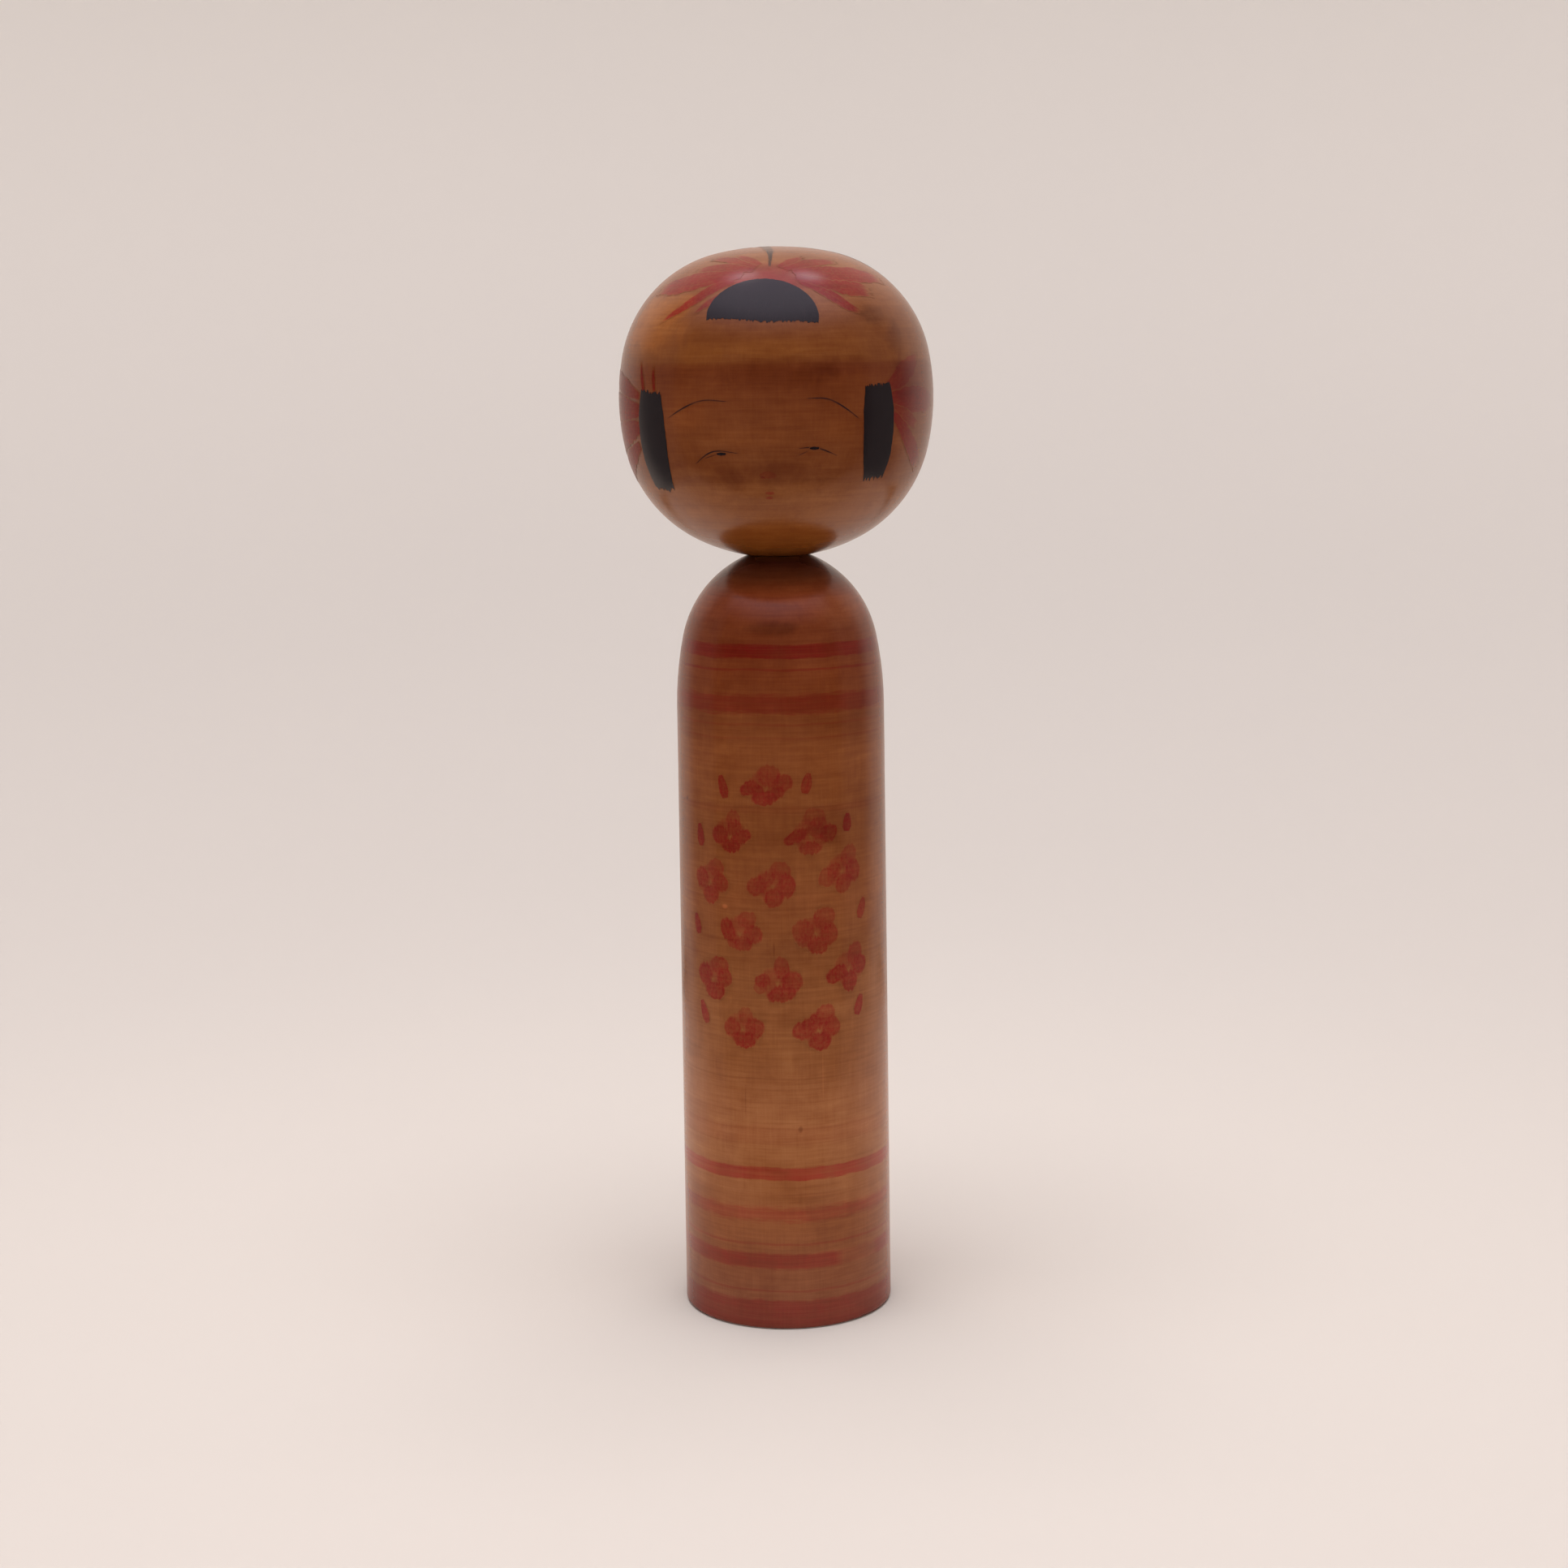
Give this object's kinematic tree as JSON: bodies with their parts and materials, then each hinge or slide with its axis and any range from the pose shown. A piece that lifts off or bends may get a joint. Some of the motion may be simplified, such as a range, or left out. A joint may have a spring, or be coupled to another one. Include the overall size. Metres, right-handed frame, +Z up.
{
  "type": "kokeshi doll",
  "caption": "Turned wooden doll: tall cylindrical body with domed shoulder and a round head that turns on a snap-in neck stem, painted in red and black.",
  "frame": {"origin": "centre of the circle that the foot stands on", "axes": "+Z up along the turning axis; the painted face looks along -Y; +X to the right when facing the doll"},
  "size_m": [0.07, 0.07, 0.242],
  "materials": {
    "body_wood": "waxed, aged brown, glossy",
    "head_wood": "waxed, aged brown, glossy",
    "red_dye": "translucent red dye under wax, faded",
    "black_ink": "black ink under wax"
  },
  "bodies": {
    "body": {"body": "body_wood"},
    "head": {"head": "head_wood"}
  },
  "joints": [
    {"name": "head_turn", "type": "hinge", "parent": "body", "child": "head", "pos_m": [0, 0, 0.174], "axis": [0, 0, 1], "continuous": true}
  ]
}
